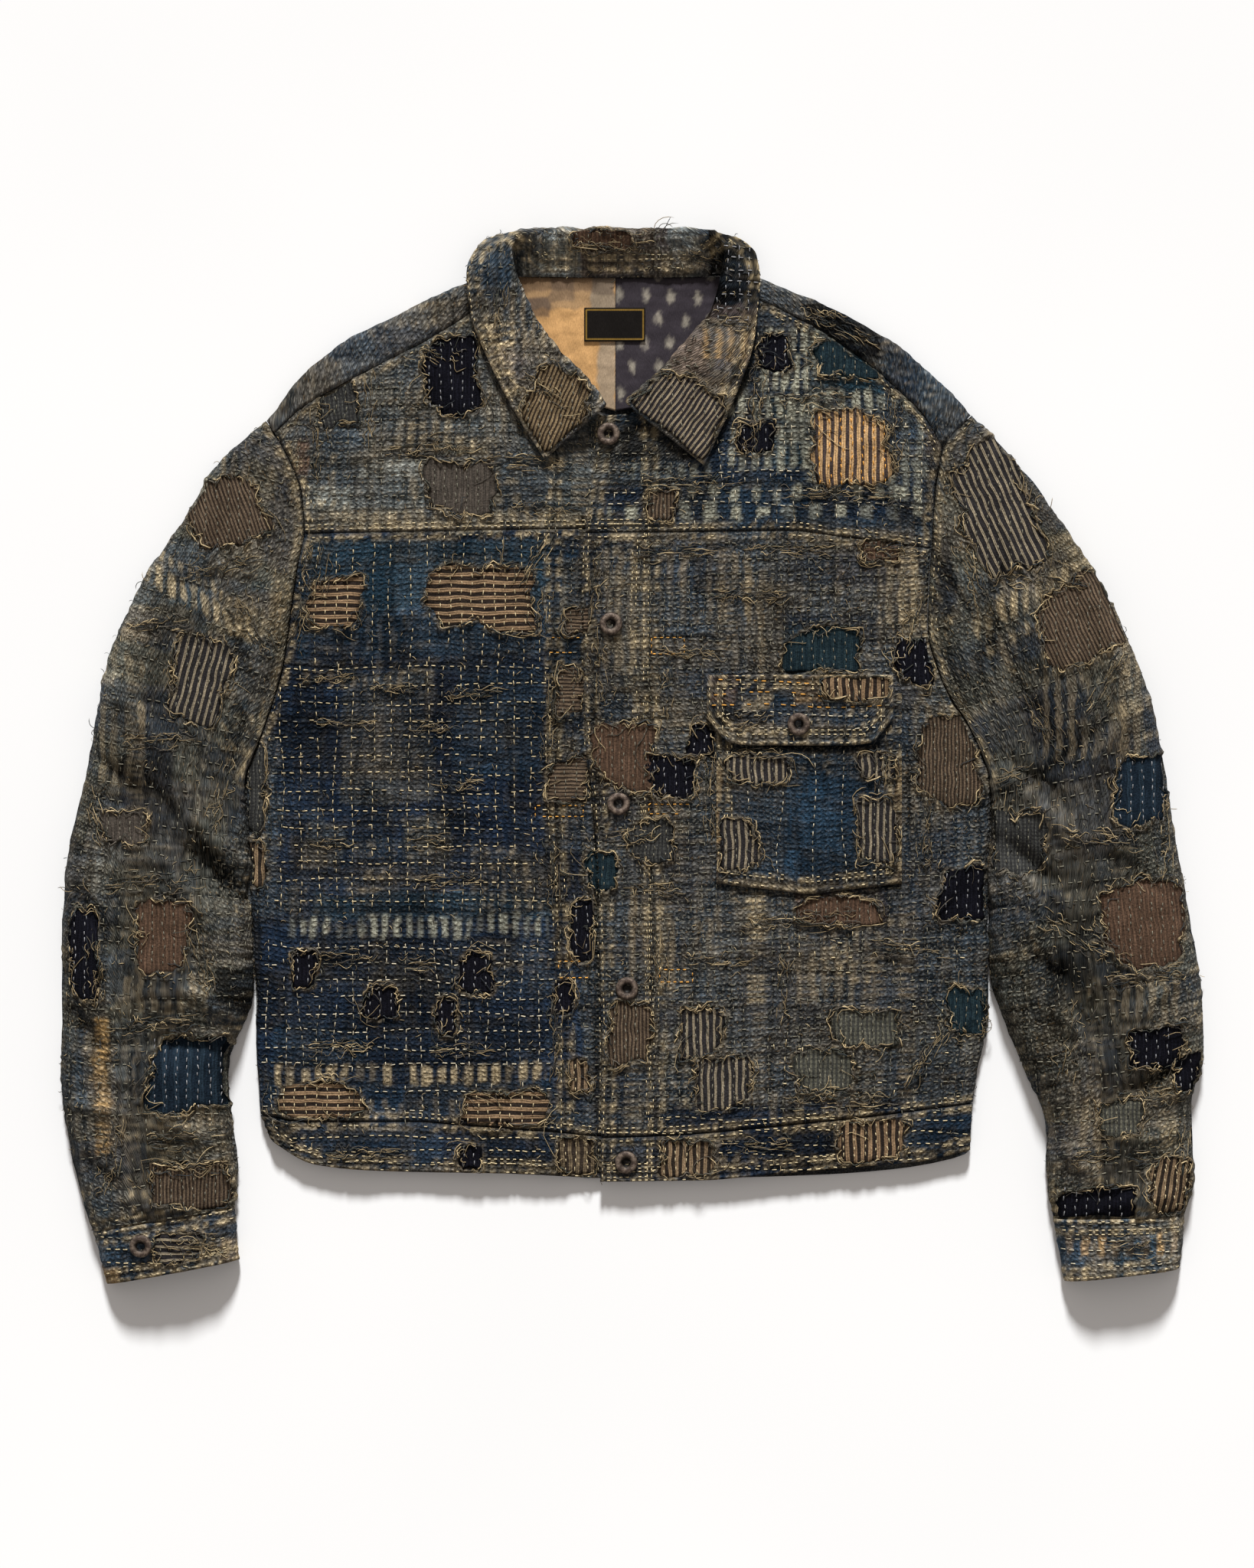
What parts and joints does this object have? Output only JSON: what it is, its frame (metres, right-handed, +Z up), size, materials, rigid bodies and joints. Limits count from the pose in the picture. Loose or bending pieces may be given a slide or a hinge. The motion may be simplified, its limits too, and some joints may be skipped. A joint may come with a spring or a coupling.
{
  "type": "patched boro jacket",
  "caption": "Patched boro jacket with a turned-down collar, chest pocket with flap, waistband and cuffs, buttoned and laid flat on its back.",
  "frame": {"origin": "middle of the jacket's bounding box, on the surface that its back lies on", "axes": "+X across the jacket towards the wearer's left sleeve, +Y towards the collar, +Z up out of the front"},
  "size_m": [0.8366, 0.7724, 0.035],
  "materials": {
    "indigo": "faded indigo cotton, sashiko stitched",
    "grey": "frayed grey-green cotton",
    "navy": "dark indigo cotton",
    "brown": "brown corded cotton",
    "stripe": "striped cotton",
    "blue": "indigo cotton",
    "tan": "smooth ochre lining",
    "slate": "slate lining with small woven crosses",
    "label": "plain woven label",
    "bronze": "dark antique bronze"
  },
  "bodies": {
    "root": {"back_panel": "grey", "back_yoke": "grey", "front_left": "indigo", "front_right": "grey", "front_yoke_left": "grey", "front_yoke_right": "indigo", "waistband_left": "indigo", "waistband_right": "indigo", "waistband_back": "indigo", "sleeve_left_upper": "grey", "sleeve_left_under": "grey", "sleeve_right_upper": "grey", "sleeve_right_under": "grey", "cuff_left": "indigo", "cuff_right": "indigo", "collar": "brown", "pocket": "blue", "pocket_flap": "stripe", "lining_left": "tan", "lining_right": "slate", "neck_label": "label", "button_1": "bronze", "button_2": "bronze", "button_3": "bronze", "button_4": "bronze", "button_5": "bronze", "button_flap": "bronze", "button_cuff": "bronze", "patch_yoke_left_navy": "navy", "patch_yoke_left_brown": "brown", "patch_yoke_right_stripe": "stripe", "patch_front_left_stripe_a": "stripe", "patch_front_left_stripe_b": "stripe", "patch_front_left_hem_a": "stripe", "patch_front_left_hem_b": "stripe", "patch_front_right_cord": "brown", "patch_front_right_stripe": "stripe", "patch_front_right_navy": "navy", "patch_sleeve_left_cord": "brown", "patch_sleeve_left_stripe": "stripe", "patch_sleeve_left_brown": "brown", "patch_sleeve_left_blue": "blue", "patch_sleeve_right_stripe": "stripe", "patch_sleeve_right_cord": "brown", "patch_sleeve_right_blue": "blue", "patch_sleeve_right_brown": "brown", "patch_sleeve_right_navy": "navy"}
  },
  "joints": []
}
